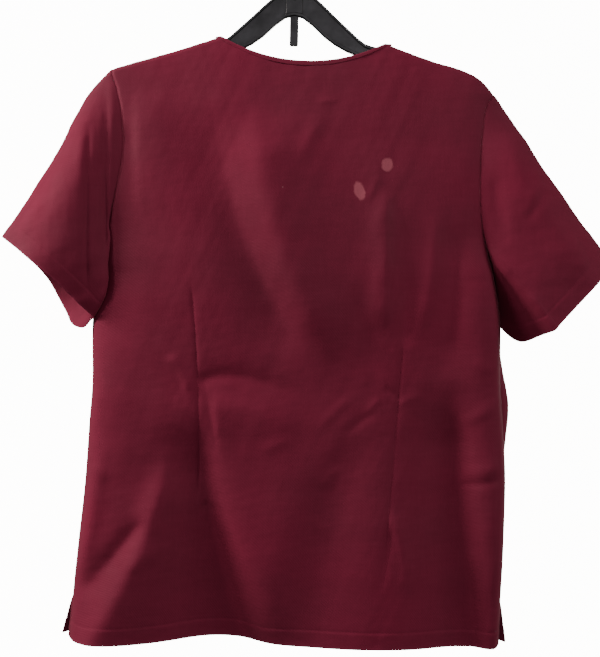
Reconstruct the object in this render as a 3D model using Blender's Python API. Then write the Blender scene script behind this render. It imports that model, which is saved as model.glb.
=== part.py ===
"""A short-sleeved scrub top hanging on a moulded hanger.

Metres, +Z up. The origin is the inside top of the hook, where a rail carries the hanger.
+X is the wearer's right and +Y the wearer's front, so the back faces -Y.
The tables below are in millimetres.
"""

import math
from collections import namedtuple

import bmesh
import bpy
import numpy as np

MM = 0.001

# Cloth
WALL = 1.2
SEAM_GAP = 0.3
HEM_LEVEL = -781.0
HEM_DIP_RIGHT = 2.0
HEM_LIFT = 6.0
HEM_LIFT_PLACE = -0.33
HEM_LIFT_REACH = 0.22
VENT_TOP = -740.0
VENT_FLARE = 9.0
VENT_SPREAD = 5.0

# Shoulders and armholes: tips, underarm points and how the cloth falls from the hanger
TIP_LEFT = -158.7
TIP_RIGHT = -180.0
UNDERARM_LEFT = -382.0
UNDERARM_RIGHT = -386.0
ARMHOLE_DEPTH = 32.0
ARMHOLE_CURVE = 5.0
ARM_FOLD_RADIUS = 6.5
ARM_FOLD_REACH = 120.0
FALL_LENGTH = 110.0

# Neck
NECK_HALF = 91.3
NECK_LEFT_HEIGHT = -121.4
NECK_RIGHT_HEIGHT = -126.0
NECK_BACK_DROP = 24.6
NECK_BACK_POWER = 2.1
NECK_FRONT_DROP = 150.0
NECK_FRONT_POWER = 1.12
BAND_WIDTH = 5.5
NECK_GAP = 0.8
PANEL_MARGIN = BAND_WIDTH + NECK_GAP
V_MARGIN_FACTOR = 1.9

# Grid: cells across the neck and each side of it, and down the panel and the sleeve
NECK_CELLS = 12
SIDE_CELLS = 7
ARMHOLE_CELLS = 13
ARMHOLE_SPACING = 2.2
BODY_CELLS = 13
SLEEVE_CELLS = 9

# Cross-section of the body
SECTION_POWER = 4.0
SEAM_ROUNDING = 0.5
OPEN_ROUNDING = 1.0
ROUNDING_CHANGE = 70.0
SEAM_CALM = 0.05
ARMHOLE_GAP = 0.65
UNDERARM_CLEAR = 2.2
UNDERARM_TURN = 0.6
UNDERARM_REACH = 0.18
SHOULDER_CALM = 45.0

Edge = namedtuple("Edge", "height x")
LEFT_EDGE = (
    Edge(-783, -235),
    Edge(-740, -233),
    Edge(-680, -228),
    Edge(-610, -221.5),
    Edge(-545, -218),
    Edge(-500, -215.5),
    Edge(-446, -216.5),
    Edge(-382, -211),
    Edge(-334, -198.7),
    Edge(-292, -190.6),
    Edge(-247, -184),
    Edge(-214, -186),
    Edge(-182, -192.6),
    Edge(-158.7, -199.6),
    Edge(-110, -199.6),
)
RIGHT_EDGE = (
    Edge(-783, 235),
    Edge(-740, 238),
    Edge(-680, 240.5),
    Edge(-610, 241.5),
    Edge(-545, 238),
    Edge(-490, 234),
    Edge(-438, 233.3),
    Edge(-386, 226.5),
    Edge(-356, 216.5),
    Edge(-329, 209),
    Edge(-296, 205.5),
    Edge(-252, 206.0),
    Edge(-208, 209.5),
    Edge(-191, 214),
    Edge(-180, 221),
    Edge(-110, 221),
)

Depth = namedtuple("Depth", "height back front")
DEPTHS = (
    Depth(-783, 46, 49),
    Depth(-700, 45, 49),
    Depth(-610, 41, 47),
    Depth(-545, 38, 46),
    Depth(-500, 37, 46),
    Depth(-440, 39, 49),
    Depth(-380, 41, 51),
    Depth(-300, 40, 46),
    Depth(-220, 37, 38),
    Depth(-110, 37, 37),
)

Shoulder = namedtuple("Shoulder", "x height")
SHOULDERS = (
    Shoulder(-199.6, -158.7),
    Shoulder(-185.3, -154),
    Shoulder(-149.2, -143.5),
    Shoulder(-117.5, -133.6),
    Shoulder(-98, -126.8),
    Shoulder(-82.4, -121.4),
    Shoulder(-68, -119.5),
    Shoulder(8.9, -120.5),
    Shoulder(86, -123),
    Shoulder(100.2, -126),
    Shoulder(123.5, -134.3),
    Shoulder(163.3, -146.9),
    Shoulder(185.4, -153.1),
    Shoulder(205.4, -163.7),
    Shoulder(221, -180),
)

# Soft folds, each through three points with a width at each end. The lean spreads a fold to one
# side: towards +x on one drawn downwards, upwards on one drawn from left to right. A fold stands
# out (+) or sinks in (-) by the sizes given for its start and its end, is pointed at sharp 1 and
# round at sharp 2, and fades over the given shares of its length.
Fold = namedtuple("Fold", "x1 z1 x2 z2 x3 z3 width1 width2 lean out1 out2 sharp fade1 fade2")
FOLD_STEPS = 14
BACK_FOLDS = (
    # the long drape from the left shoulder blade to the right of the waist
    Fold(-36, -195, -8, -345, 62, -488, 36, 25, 0.10, 13.0, 8.5, 2.0, 0.18, 0.25),
    Fold(-92, -195, -54, -345, 16, -476, 26, 20, -0.30, -7.0, -6.5, 2.0, 0.25, 0.30),
    # the left hollow of the skirt, with the crest that runs down to the vent
    Fold(-96, -525, -84, -640, -48, -790, 22, 60, -0.48, -11.0, -35.0, 2.0, 0.35, 0.0),
    Fold(-124, -560, -150, -672, -216, -790, 24, 38, 0.40, 9.0, 22.0, 1.7, 0.30, 0.0),
    Fold(-206, -430, -207, -600, -226, -790, 26, 30, 0.30, 8.0, 12.0, 2.0, 0.30, 0.0),
    # the middle of the skirt
    Fold(84, -545, 46, -640, 18, -790, 18, 44, 0.10, -4.0, -15.0, 2.0, 0.30, 0.0),
    # the right hollow, from under the arm to the hem
    Fold(174, -490, 188, -640, 204, -790, 26, 38, -0.35, -10.0, -22.0, 1.8, 0.25, 0.0),
    Fold(176, -320, 178, -400, 179, -500, 12, 18, -0.20, -3.0, -6.0, 1.8, 0.30, 0.25),
    Fold(222, -330, 228, -500, 236, -790, 34, 34, -0.25, 15.0, 19.0, 2.0, 0.25, 0.0),
)
FRONT_FOLDS = (
    Fold(-60, -290, -45, -370, -20, -450, 26, 22, 0.0, 5.0, 5.0, 2.0, 0.35, 0.35),
    Fold(90, -280, 78, -360, 60, -440, 24, 20, 0.0, 5.0, 5.0, 2.0, 0.35, 0.35),
    Fold(-130, -560, -133, -670, -140, -790, 26, 42, 0.2, -14.0, -22.0, 2.0, 0.35, 0.0),
    Fold(-52, -560, -42, -670, -30, -790, 24, 30, 0.0, 6.0, 9.0, 2.0, 0.30, 0.0),
    Fold(60, -570, 67, -670, 78, -790, 22, 34, -0.2, -12.0, -18.0, 2.0, 0.35, 0.0),
    Fold(150, -540, 154, -670, 160, -790, 22, 28, 0.0, 6.0, 9.0, 2.0, 0.30, 0.0),
)

# Fish-eye darts of the back panel, as shallow creases from end to end
Dart = namedtuple("Dart", "side top bottom deep")
DARTS = (
    Dart(-1, -395, -628, 3.0),
    Dart(1, -455, -706, 3.0),
)

# The front panel shows past the wearer's right side seam at the waist
BULGE_OUT = 25.0
BULGE_HEIGHT = -520.0
BULGE_REACH = 75.0
BULGE_SHARE = 0.16

# Sleeve sections, a row for each: its top fold, the ridge where the back layer turns under,
# the low point of the underside, the underarm seam, how far the layers stand out, and how far
# the line of each layer bows inwards.
Section = namedtuple(
    "Section",
    "along top_x top_z ridge_x ridge_y ridge_z low_x low_y low_z under_x under_y under_z back front bow"
    " front_bow",
)
LEFT_SLEEVE = (
    Section(0.15, -222, -183, -198, -26, -345, -211, -14, -374, -217, 0, -394, 24, 22, 0, 0),
    Section(0.40, -249, -236, -199, -30, -374, -213, -18, -396, -220, 2, -405, 27, 24, 0, 0),
    Section(0.70, -284, -294, -200, -31, -404, -214, -18, -419, -224, 2, -424, 28, 26, 2, 2),
    Section(1.00, -317, -346, -214, -18, -432, -224, -8, -443, -236, 2, -442, 24, 26, 5, 6),
)
RIGHT_SLEEVE = (
    Section(0.15, 240, -207, 222, -24, -364, 227, -13, -383, 230.5, 2, -396, 26, 24, 0, 0),
    Section(0.40, 268, -248, 239, -31, -383, 237, -12, -403, 234, 7, -408, 30, 28, 0, 0),
    Section(0.70, 307, -302, 262, -36, -409, 248, -8, -427, 236.5, 12, -421, 33, 30, 0, 0),
    Section(1.00, 354, -364, 285, -36, -438, 258, -2, -451, 238.5, 16, -433, 31, 30, 0, 0),
)

# Shape of a sleeve section: places on its two layers, with their share round the loop, how far
# along the layer they lie and how much of its depth and bow they take. The ridge is kept crisp
# by a point close to it on either side.
LayerPoint = namedtuple("LayerPoint", "share along depth bow")
BACK_LAYER = (LayerPoint(0.10, 0.25, -0.8, 0.8), LayerPoint(0.25, 0.62, -1.0, 1.0))
FRONT_LAYER = (
    LayerPoint(0.60, 0.2, 0.8, 0.0),
    LayerPoint(0.75, 0.5, 1.0, 1.0),
    LayerPoint(0.90, 0.8, 0.75, 0.6),
)
RIDGE_SHARE = 0.40
LOW_SHARE = 0.45
UNDER_SHARE = 0.50
BEFORE_RIDGE = 0.38
BEFORE_RIDGE_PART = 0.13
AFTER_RIDGE = 0.415
AFTER_RIDGE_PART = 0.3

# Hanger: upper and lower edge of one arm, from the middle to the end
Arm = namedtuple("Arm", "x upper lower")
ARMS = (
    Arm(0, -66, -97),
    Arm(9, -67.5, -99),
    Arm(20, -74, -107),
    Arm(34, -87, -120.2),
    Arm(46, -98.5, -128.8),
    Arm(58, -109.5, -135.2),
    Arm(70, -120.5, -140),
    Arm(78, -126.5, -143),
    Arm(86, -129.2, -145.5),
    Arm(95, -131.2, -148.2),
    Arm(120, -138.1, -154.8),
    Arm(150, -146.0, -162.2),
    Arm(175, -153.2, -167.6),
    Arm(186, -156.7, -169.2),
    Arm(191, -159.5, -168.6),
    Arm(193, -162.8, -166.6),
)
ARM_HALF = 3.6
ARM_BEVEL = 1.3
FLANGE = 3.4
FLANGE_SLOPE = 0.8
WEB_HALF = 1.5
HUB_HALF_WIDTH = 9.0
TAB_HALF_WIDTH = 4.7
TAB_HALF_THICK = 2.0
TAB_TOP = -92.0
TAB_BOTTOM = -130.0
TAB_ROUNDING = 2.0
HOOK_INNER = 19.0
HOOK_ROD = 3.5
HOOK_NECK_BOTTOM = -80.0
HOOK_NECK_TOP = -60.0
HOOK_JOIN_ANGLE = 236.0
HOOK_TIP_ANGLE = -32.0
HOOK_ARC_STEPS = 22
HOOK_NECK_STEPS = 8
HOOK_SIDES = 12


def ease(value):
    """0 to 1 with level ends."""
    value = np.clip(value, 0.0, 1.0)
    return value * value * (3.0 - 2.0 * value)


def curve(table, key, column, at):
    """Smooth reading of a table column at any place, with no overshoot between its rows."""
    places = np.array([getattr(row, key) for row in table], float)
    values = np.array([getattr(row, column) for row in table], float)
    steps = np.diff(values) / np.diff(places)
    before, after = steps[:-1], steps[1:]
    same_way = before * after > 0
    total = np.where(same_way, before + after, 1.0)
    inner = np.where(same_way, 2 * before * after / total, 0.0)
    slopes = np.concatenate([steps[:1], inner, steps[-1:]])
    at = np.clip(np.asarray(at, float), places[0], places[-1])
    left = np.clip(np.searchsorted(places, at, side="right") - 1, 0, len(places) - 2)
    span = places[left + 1] - places[left]
    t = (at - places[left]) / span
    start = values[left] * (1 + 2 * t) * (1 - t) ** 2 + slopes[left] * span * t * (1 - t) ** 2
    end = values[left + 1] * t * t * (3 - 2 * t) + slopes[left + 1] * span * t * t * (t - 1)
    return start + end


def between(left, right, f):
    """Value at cross fraction f, which runs from -1 at the left edge to 1 at the right."""
    return left + (right - left) * (np.asarray(f, float) + 1.0) / 2.0


def fold_line(fold):
    """Points along the fold, from its start to its end."""
    t = np.linspace(0, 1, FOLD_STEPS + 1)
    first, middle, last = (1 - t) * (1 - 2 * t), 4 * t * (1 - t), t * (2 * t - 1)
    across = fold.x1 * first + fold.x2 * middle + fold.x3 * last
    height = fold.z1 * first + fold.z2 * middle + fold.z3 * last
    return across, height


def fold_depth(folds, x, z):
    """Sum of the soft folds at a place on the panel."""
    total = np.zeros(x.shape)
    for fold in folds:
        px, pz = fold_line(fold)
        nearest = np.full(x.shape, np.inf)
        across = np.zeros(x.shape)
        along = np.zeros(x.shape)
        for i in range(FOLD_STEPS):
            dx, dz = px[i + 1] - px[i], pz[i + 1] - pz[i]
            share = ((x - px[i]) * dx + (z - pz[i]) * dz) / (dx * dx + dz * dz)
            share = np.clip(share, 0, 1)
            ox, oz = x - px[i] - share * dx, z - pz[i] - share * dz
            distance = np.hypot(ox, oz)
            closer = distance < nearest
            nearest = np.where(closer, distance, nearest)
            across = np.where(closer, np.copysign(distance, dx * oz - dz * ox), across)
            along = np.where(closer, (i + share) / FOLD_STEPS, along)
        width = fold.width1 + (fold.width2 - fold.width1) * along
        width = width * (1 + fold.lean * np.sign(across))
        height = fold.out1 + (fold.out2 - fold.out1) * along
        if fold.fade1:
            height = height * ease(along / fold.fade1)
        if fold.fade2:
            height = height * ease((1 - along) / fold.fade2)
        total = total + height * np.exp(-(np.abs(across / width) ** fold.sharp))
    return total


def body_x(f, z):
    left = curve(LEFT_EDGE, "height", "x", z)
    right = curve(RIGHT_EDGE, "height", "x", z)
    return between(left, right, f)


def shoulder_height(f):
    """Height of the shoulder line in column f, carried straight across the neck."""
    height = np.full(np.shape(f), -140.0)
    for _ in range(12):
        height = curve(SHOULDERS, "x", "height", body_x(f, height))
    return height


def dart_crease(f, z, neck_f):
    total = np.zeros(np.broadcast(f, z).shape)
    for dart in DARTS:
        on_line = np.abs(f - dart.side * neck_f) < 1e-6
        share = np.clip((z - dart.bottom) / (dart.top - dart.bottom), 0, 1)
        total = total + np.where(on_line, dart.deep * np.sin(math.pi * share), 0)
    return total


def body_point(face, f, z):
    """Points of the back (face -1) or front (face 1) panel, as an array with x, y, z last."""
    f, z = np.broadcast_arrays(np.asarray(f, float), np.asarray(z, float))
    tip = between(TIP_LEFT, TIP_RIGHT, f)
    under = between(UNDERARM_LEFT, UNDERARM_RIGHT, f)
    share = np.clip((tip - z) / (tip - under), 0, 1)
    edge = ARMHOLE_DEPTH * (1 - share**ARMHOLE_CURVE)
    deep = curve(DEPTHS, "height", "back" if face < 0 else "front", z)
    rounding = SEAM_ROUNDING + (OPEN_ROUNDING - SEAM_ROUNDING) * ease((z - under) / ROUNDING_CHANGE)
    section = (1 - np.minimum(np.abs(f), 1) ** SECTION_POWER) ** rounding
    below = np.maximum(shoulder_height(f) - z, 0)
    bend = np.sqrt(1 - (1 - np.clip(below / ARM_FOLD_RADIUS, 0, 1)) ** 2)
    bend = bend * np.clip(1 - below / ARM_FOLD_REACH, 0, 1) ** 2
    out = (edge + (deep - edge) * section) * (1 - np.exp(-below / FALL_LENGTH))
    out = out + ARM_FOLD_RADIUS * bend
    x = body_x(f, z)
    calm = ease((1 - np.abs(f)) / SEAM_CALM) * ease(below / SHOULDER_CALM)
    folds = BACK_FOLDS if face < 0 else FRONT_FOLDS
    out = out + fold_depth(folds, x, z) * calm
    vent = np.clip((VENT_TOP - z) / (VENT_TOP - HEM_LEVEL), 0, 1)
    out = out + VENT_SPREAD * vent * np.abs(f) ** 8
    if face > 0:
        x = x + VENT_FLARE * vent * np.sign(f) * np.abs(f) ** 12
        aside = np.sin(math.pi * np.clip((1 - f) / BULGE_SHARE, 0, 1))
        x = x + BULGE_OUT * aside * np.exp(-(((z - BULGE_HEIGHT) / BULGE_REACH) ** 2))
    else:
        out = out - dart_crease(f, z, neck_fraction(PANEL_MARGIN))
    y = face * (out + SEAM_GAP / 2)
    return np.stack([x, y, z], axis=-1)


def neck_fraction(margin):
    """Cross fraction of the neck's corner, this far outside the finished neckline."""
    half = (RIGHT_EDGE[-1].x - LEFT_EDGE[-1].x) / 2
    return (NECK_HALF + margin) / half


def neck_height(face, f, margin):
    """Height of the neckline, this far outside the finished one."""
    share = np.clip(np.abs(f) / neck_fraction(margin), 0, 1)
    line = between(NECK_LEFT_HEIGHT, NECK_RIGHT_HEIGHT, f / neck_fraction(0))
    drop = NECK_BACK_DROP if face < 0 else NECK_FRONT_DROP
    power = NECK_BACK_POWER if face < 0 else NECK_FRONT_POWER
    deeper = margin if face < 0 else margin * V_MARGIN_FACTOR
    return line - (drop + deeper) * (1 - share**power)


def top_height(face, f, margin):
    """Top edge of a panel: the shoulder line, cut down to the neckline between the corners."""
    inside = np.abs(f) < neck_fraction(margin) - 1e-9
    return np.where(inside, neck_height(face, f, margin), shoulder_height(f))


def neck_columns(margin):
    """Cross fractions from one neck corner to the other, closer together at the corners."""
    shares = np.sin(np.linspace(-math.pi / 2, math.pi / 2, NECK_CELLS + 1))
    return neck_fraction(margin) * shares


def columns():
    """Cross fractions of the grid's columns, with one at each neck corner."""
    corner = neck_fraction(PANEL_MARGIN)
    middle = neck_columns(PANEL_MARGIN)
    start = math.asin(corner)
    side = np.sin(np.linspace(start, math.pi / 2, SIDE_CELLS + 1))[1:]
    side[-1] = 1.0
    return np.concatenate([-side[::-1], middle, side])


def armhole_shares():
    """Shares of the armhole's height, from 0 at the tip to 1 at the underarm, close at the tip."""
    return (np.arange(ARMHOLE_CELLS + 1) / ARMHOLE_CELLS) ** ARMHOLE_SPACING


def panel_points(face):
    """Grid of a body panel, with rows from hem to top and columns from left to right."""
    f = columns()
    hem = HEM_LEVEL - HEM_DIP_RIGHT * (f + 1) / 2
    if face < 0:
        hem = hem + HEM_LIFT * np.exp(-(((f - HEM_LIFT_PLACE) / HEM_LIFT_REACH) ** 2))
    under = between(UNDERARM_LEFT, UNDERARM_RIGHT, f)
    top = top_height(face, f, PANEL_MARGIN)
    rows = []
    for share in np.linspace(0, 1, BODY_CELLS + 1)[:-1]:
        rows.append(body_point(face, f, hem + (under - hem) * share))
    for share in armhole_shares()[::-1]:
        rows.append(body_point(face, f, top + (under - top) * share))
    return np.array(rows)


def grid_normals(points, closed):
    """Unit normals of a grid whose second direction may be closed."""
    down = np.gradient(points, axis=0)
    if closed:
        across = (np.roll(points, -1, axis=1) - np.roll(points, 1, axis=1)) / 2
    else:
        across = np.gradient(points, axis=1)
    normals = np.cross(across, down)
    return normals / np.linalg.norm(normals, axis=2, keepdims=True)


def make_wall(name, points, normals, thickness, closed, material):
    """A closed wall of even thickness on a grid of points."""
    outer = points + normals * thickness / 2
    inner = points - normals * thickness / 2
    rows, cols = points.shape[:2]
    mesh = bmesh.new()
    layers = [
        [[mesh.verts.new(layer[i, j] * MM) for j in range(cols)] for i in range(rows)]
        for layer in (outer, inner)
    ]
    spans = cols if closed else cols - 1

    def face_of(*verts):
        mesh.faces.new(verts)

    for i in range(rows - 1):
        for j in range(spans):
            k = (j + 1) % cols
            top, under = layers
            face_of(top[i][j], top[i][k], top[i + 1][k], top[i + 1][j])
            face_of(under[i + 1][j], under[i + 1][k], under[i][k], under[i][j])
    for j in range(spans):
        k = (j + 1) % cols
        top, under = layers
        face_of(top[0][k], top[0][j], under[0][j], under[0][k])
        face_of(top[-1][j], top[-1][k], under[-1][k], under[-1][j])
    if not closed:
        for i in range(rows - 1):
            top, under = layers
            face_of(top[i][0], top[i + 1][0], under[i + 1][0], under[i][0])
            face_of(top[i + 1][-1], top[i][-1], under[i][-1], under[i + 1][-1])
    return finish_object(name, mesh, material)


def finish_object(name, mesh, material):
    """Makes an object of a bmesh, with its faces turned outward."""
    if mesh.calc_volume(signed=True) < 0:
        bmesh.ops.reverse_faces(mesh, faces=mesh.faces)
    data = bpy.data.meshes.new(name)
    mesh.to_mesh(data)
    mesh.free()
    data.materials.append(material)
    data.shade_smooth()
    data.set_sharp_from_angle(angle=math.radians(50))
    obj = bpy.data.objects.new(name, data)
    bpy.context.scene.collection.objects.link(obj)
    return obj


def section_controls(section):
    """Points round a sleeve section, each with its share round the loop."""
    top = np.array([section.top_x, 0.0, section.top_z])
    ridge = np.array([section.ridge_x, section.ridge_y, section.ridge_z], float)
    low = np.array([section.low_x, section.low_y, section.low_z], float)
    under = np.array([section.under_x, section.under_y, section.under_z], float)
    chord = ridge - top
    side = np.array([-chord[2], 0.0, chord[0]]) / math.hypot(chord[0], chord[2])
    side = side * math.copysign(1.0, -section.top_x * side[0])
    ridge_flat = ridge * (1, 0, 1)
    under_flat = under * (1, 0, 1)

    def on_layer(start, end, place, depth, bow):
        aside = np.array([0, place.depth * depth, 0]) + side * place.bow * bow
        return place.share, start + (end - start) * place.along + aside

    back = [on_layer(top, ridge_flat, place, section.back, section.bow) for place in BACK_LAYER]
    front = [
        on_layer(under_flat, top, place, section.front, section.front_bow) for place in FRONT_LAYER
    ]
    return (
        (0.0, top),
        *back,
        (BEFORE_RIDGE, ridge + (back[-1][1] - ridge) * BEFORE_RIDGE_PART),
        (RIDGE_SHARE, ridge),
        (AFTER_RIDGE, ridge + (low - ridge) * AFTER_RIDGE_PART),
        (LOW_SHARE, low),
        (UNDER_SHARE, under),
        *front,
    )


def closed_curve(controls, at):
    """Smooth closed curve through points given with their share round the loop."""
    shares = np.array([share for share, _ in controls])
    points = np.array([point for _, point in controls])
    shares = np.concatenate([shares[-2:] - 1, shares, shares[:2] + 1])
    points = np.concatenate([points[-2:], points, points[:2]])
    slopes = np.gradient(points, shares, axis=0)
    result = []
    for share in at:
        k = int(np.clip(np.searchsorted(shares, share, side="right") - 1, 0, len(shares) - 2))
        span = shares[k + 1] - shares[k]
        t = (share - shares[k]) / span
        start = points[k] * (1 + 2 * t) * (1 - t) ** 2 + slopes[k] * span * t * (1 - t) ** 2
        end = points[k + 1] * t * t * (3 - 2 * t) + slopes[k + 1] * span * t * t * (t - 1)
        result.append(start + end)
    return np.array(result)


def sleeve_points(side, sections):
    """Grid of a sleeve: a row for each ring from armhole to cuff, starting at the shoulder tip."""
    shares = armhole_shares()
    tip, under = (TIP_LEFT, UNDERARM_LEFT) if side < 0 else (TIP_RIGHT, UNDERARM_RIGHT)
    heights = tip + (under - tip) * shares
    back = body_point(-1, float(side), heights)
    front = body_point(1, float(side), heights)
    armhole = np.concatenate([back, front[-2:0:-1]])
    armhole[0, 1] = 0.0
    armhole[len(back) - 1, 1] = 0.0
    loop_shares = np.concatenate([shares / 2, 1 - shares[-2:0:-1] / 2])
    near_under = ease(1 - np.abs(loop_shares - 0.5) / UNDERARM_REACH)
    armhole[:, 0] += side * (ARMHOLE_GAP + UNDERARM_CLEAR * near_under)
    rings = [armhole] + [closed_curve(section_controls(row), loop_shares) for row in sections]
    places = np.array([0.0] + [row.along for row in sections])
    rings = np.array(rings)
    slopes = np.gradient(rings, places, axis=0)
    result = []
    for at in np.linspace(0, 1, SLEEVE_CELLS + 1):
        k = int(np.clip(np.searchsorted(places, at, side="right") - 1, 0, len(places) - 2))
        span = places[k + 1] - places[k]
        t = (at - places[k]) / span
        start = rings[k] * (1 + 2 * t) * (1 - t) ** 2 + slopes[k] * span * t * (1 - t) ** 2
        end = rings[k + 1] * t * t * (3 - 2 * t) + slopes[k + 1] * span * t * t * (t - 1)
        result.append(start + end)
    return np.array(result)


def make_material(name, colour, roughness):
    material = bpy.data.materials.new(name)
    material.use_nodes = True
    shader = material.node_tree.nodes["Principled BSDF"]
    shader.inputs["Base Color"].default_value = (*colour, 1.0)
    shader.inputs["Roughness"].default_value = roughness
    shader.inputs["Metallic"].default_value = 0.0
    return material


def square_seams(normals):
    """Turns the wall's edge square to the seam plane along the side and shoulder seams."""
    on_shoulder = np.abs(columns()) > neck_fraction(PANEL_MARGIN) - 1e-6
    normals[: BODY_CELLS + 1, (0, -1), 1] = 0.0
    normals[-1, on_shoulder, 1] = 0.0
    return normals / np.linalg.norm(normals, axis=2, keepdims=True)


def panel_normals(points):
    return square_seams(grid_normals(points, False))


def make_panel(name, face):
    points = panel_points(face)
    normals = panel_normals(points)
    material = make_material(name + "_cloth", (0.095, 0.009, 0.017), 0.85)
    return make_wall(name, points, normals, WALL, False, material)


def armhole_normals(side):
    """Wall directions of the two panels round the armhole, in the order of a sleeve's ring."""
    column = 0 if side < 0 else -1
    back, front = (panel_normals(panel_points(face)) for face in (-1, 1))
    back = back[BODY_CELLS:, column][::-1]
    front = front[BODY_CELLS:, column][::-1]
    return np.concatenate([back, -front[-2:0:-1]])


def make_sleeve(name, side, sections):
    points = sleeve_points(side, sections)
    normals = grid_normals(points, True)
    shares = armhole_shares()
    down = np.concatenate([shares, shares[-2:0:-1]])
    own = ease((down - UNDERARM_TURN) / (1 - UNDERARM_TURN))[:, None]
    seam = armhole_normals(side)
    seam = seam * np.sign(np.sum(seam * normals[0], axis=1, keepdims=True))
    ring = seam * (1 - own) + normals[0] * own
    normals[0] = ring / np.linalg.norm(ring, axis=1, keepdims=True)
    material = make_material(name + "_cloth", (0.105, 0.010, 0.019), 0.85)
    return make_wall(name, points, normals, WALL, True, material)


def neck_loop(margin):
    """Closed loop of points on the panels, this far outside the finished neckline."""
    across = neck_columns(margin)
    back = body_point(-1, across, top_height(-1, across, margin))
    front = body_point(1, across[::-1], top_height(1, across[::-1], margin))
    for corner_row in (back[0], back[-1], front[0], front[-1]):
        corner_row[1] = 0.0
    return np.concatenate([back, front[1:-1]])


def make_band(name):
    points = np.array([neck_loop(BAND_WIDTH), neck_loop(0.0)])
    normals = grid_normals(points, True)
    material = make_material(name + "_cloth", (0.085, 0.008, 0.015), 0.85)
    return make_wall(name, points, normals, WALL, True, material)


def arm_section(x):
    """I-shaped outline of the arms at one place, as y and z pairs."""
    upper = float(curve(ARMS, "x", "upper", abs(x)))
    lower = float(curve(ARMS, "x", "lower", abs(x)))
    flange = min(FLANGE, 0.3 * (upper - lower))
    bevel = min(ARM_BEVEL, 0.3 * flange)
    slope = min(FLANGE_SLOPE, 0.1 * (upper - lower))
    web = ARM_HALF - 0.6 if abs(x) < HUB_HALF_WIDTH else WEB_HALF
    half = (
        (ARM_HALF - bevel, upper),
        (ARM_HALF, upper - bevel),
        (ARM_HALF, upper - flange),
        (web, upper - flange - slope),
        (web, lower + flange + slope),
        (ARM_HALF, lower + flange),
        (ARM_HALF, lower + bevel),
        (ARM_HALF - bevel, lower),
    )
    return [*half, *((-y, z) for y, z in reversed(half))]


def make_loft(name, rings, material):
    """A closed solid through rings of points, with flat ends."""
    mesh = bmesh.new()
    verts = [[mesh.verts.new(np.array(point) * MM) for point in ring] for ring in rings]
    count = len(verts[0])
    for first, second in zip(verts, verts[1:]):
        for j in range(count):
            k = (j + 1) % count
            mesh.faces.new((first[j], first[k], second[k], second[j]))
    mesh.faces.new(verts[0][::-1])
    mesh.faces.new(verts[-1])
    return finish_object(name, mesh, material)


def arm_stations():
    half = [row.x for row in ARMS]
    hub = [HUB_HALF_WIDTH - 0.5, HUB_HALF_WIDTH + 0.5]
    half = sorted(set(half + hub) - {HUB_HALF_WIDTH})
    return [-x for x in half[:0:-1]] + half


def hook_path():
    """Centre line of the hook: up the neck, round the bow and down to the free end."""
    radius = HOOK_INNER + HOOK_ROD
    centre = -HOOK_INNER
    join = math.radians(HOOK_JOIN_ANGLE)
    start = np.array([0.0, HOOK_NECK_TOP])
    end = np.array([radius * math.cos(join), centre + radius * math.sin(join)])
    reach = 0.45 * (end[1] - start[1])
    leave = start + np.array([0.0, reach])
    arrive = end - reach * np.array([math.sin(join), -math.cos(join)])
    points = [np.array([0.0, HOOK_NECK_BOTTOM])]
    for t in np.linspace(0, 1, HOOK_NECK_STEPS + 1)[:-1]:
        s = 1 - t
        points.append(s**3 * start + 3 * s * s * t * leave + 3 * s * t * t * arrive + t**3 * end)
    for angle in np.linspace(join, math.radians(HOOK_TIP_ANGLE), HOOK_ARC_STEPS + 1):
        points.append(np.array([radius * math.cos(angle), centre + radius * math.sin(angle)]))
    return np.array(points)


def make_hook_form(material):
    path = hook_path()
    forward = np.gradient(path, axis=0)
    forward = forward / np.linalg.norm(forward, axis=1, keepdims=True)
    rings = []
    for place, (fx, fz) in zip(path, forward):
        ring = []
        for k in range(HOOK_SIDES):
            angle = 2 * math.pi * k / HOOK_SIDES
            aside, across = HOOK_ROD * math.cos(angle), HOOK_ROD * math.sin(angle)
            ring.append((place[0] - fz * aside, across, place[1] + fx * aside))
        rings.append(ring)
    return make_loft("hook_form", rings, material)


def make_tab_form(material):
    """Short tab under the hub, with rounded lower corners."""
    outline = [(-TAB_HALF_WIDTH, TAB_TOP), (TAB_HALF_WIDTH, TAB_TOP)]
    for side, first in ((1, 0), (-1, 90)):
        for step in range(4):
            angle = math.radians(first + 30 * step)
            x = TAB_ROUNDING * (math.cos(angle) if side > 0 else -math.sin(angle - math.pi / 2))
            z = TAB_ROUNDING * (math.sin(angle) if side > 0 else math.cos(angle - math.pi / 2))
            outline.append(
                (side * (TAB_HALF_WIDTH - TAB_ROUNDING) + x, TAB_BOTTOM + TAB_ROUNDING - z)
            )
    rings = [[(x, y, z) for x, z in outline] for y in (-TAB_HALF_THICK, TAB_HALF_THICK)]
    return make_loft("tab_form", rings, material)


def make_hanger(name):
    material = make_material("hanger_black_plastic", (0.006, 0.006, 0.007), 0.35)
    rings = [[(x, y, z) for y, z in arm_section(x)] for x in arm_stations()]
    hanger = make_loft(name, rings, material)
    for form in (make_hook_form(material), make_tab_form(material)):
        form.hide_render = True
        form.display_type = "WIRE"
        union = hanger.modifiers.new("union", "BOOLEAN")
        union.operation = "UNION"
        union.object = form
    return hanger


def clear_scene():
    for obj in list(bpy.data.objects):
        bpy.data.objects.remove(obj, do_unlink=True)


def main():
    clear_scene()
    make_panel("back_panel", -1)
    make_panel("front_panel", 1)
    make_sleeve("sleeve_left", -1, LEFT_SLEEVE)
    make_sleeve("sleeve_right", 1, RIGHT_SLEEVE)
    make_band("neck_band")
    make_hanger("hanger")


main()
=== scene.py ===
# A wine-red scrub top, seen from behind, on a black moulded hanger.
# The tables are in millimetres, measured from the inside top of the hook: x to the wearer's
# right, y to the wearer's front, z up. Blender works in metres.
import math
from collections import namedtuple

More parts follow.
